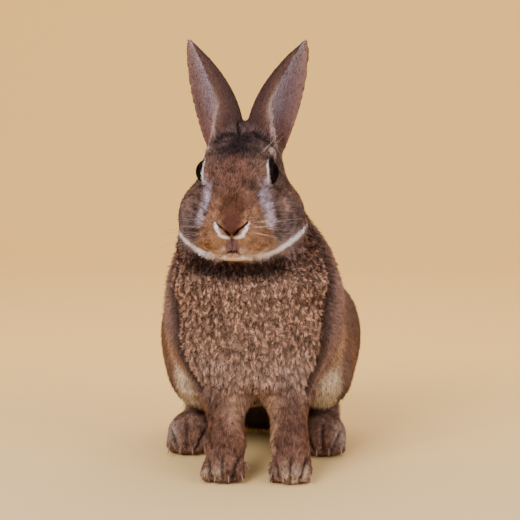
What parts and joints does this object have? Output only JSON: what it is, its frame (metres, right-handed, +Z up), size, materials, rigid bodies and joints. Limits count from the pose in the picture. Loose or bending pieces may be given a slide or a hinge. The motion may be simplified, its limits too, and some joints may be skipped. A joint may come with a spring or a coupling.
{
  "type": "rabbit",
  "caption": "Life-size rabbit sitting up alert on straight forelegs, hind feet flat beside them, upright ears.",
  "frame": {"origin": "on the floor, under the middle of the whole animal", "axes": "+Z up; the rabbit looks along -Y, so its left side is +X"},
  "size_m": [0.1678, 0.2654, 0.334],
  "materials": {
    "coat": "dense short fur, brown agouti with pale and dark ticking",
    "pale_coat": "soft fur, pale below and brown above",
    "eye": "wet, glossy dark brown eye",
    "claw": "satin horn"
  },
  "bodies": {
    "root": {"head": "coat", "muzzle": "coat", "ear_left": "coat", "ear_right": "coat", "eye_left": "eye", "eye_right": "eye", "neck": "coat", "trunk": "coat", "tail": "pale_coat", "thigh_left": "coat", "thigh_right": "coat", "foreleg_left": "coat", "foreleg_right": "coat", "forefoot_left": "coat", "forefoot_right": "coat", "hindfoot_left": "coat", "hindfoot_right": "coat", "claw_fore_left_1": "claw", "claw_fore_left_2": "claw", "claw_fore_left_3": "claw", "claw_fore_left_4": "claw", "dewclaw_left": "claw", "claw_fore_right_1": "claw", "claw_fore_right_2": "claw", "claw_fore_right_3": "claw", "claw_fore_right_4": "claw", "dewclaw_right": "claw", "claw_hind_left_1": "claw", "claw_hind_left_2": "claw", "claw_hind_left_3": "claw", "claw_hind_left_4": "claw", "claw_hind_right_1": "claw", "claw_hind_right_2": "claw", "claw_hind_right_3": "claw", "claw_hind_right_4": "claw"}
  },
  "joints": []
}
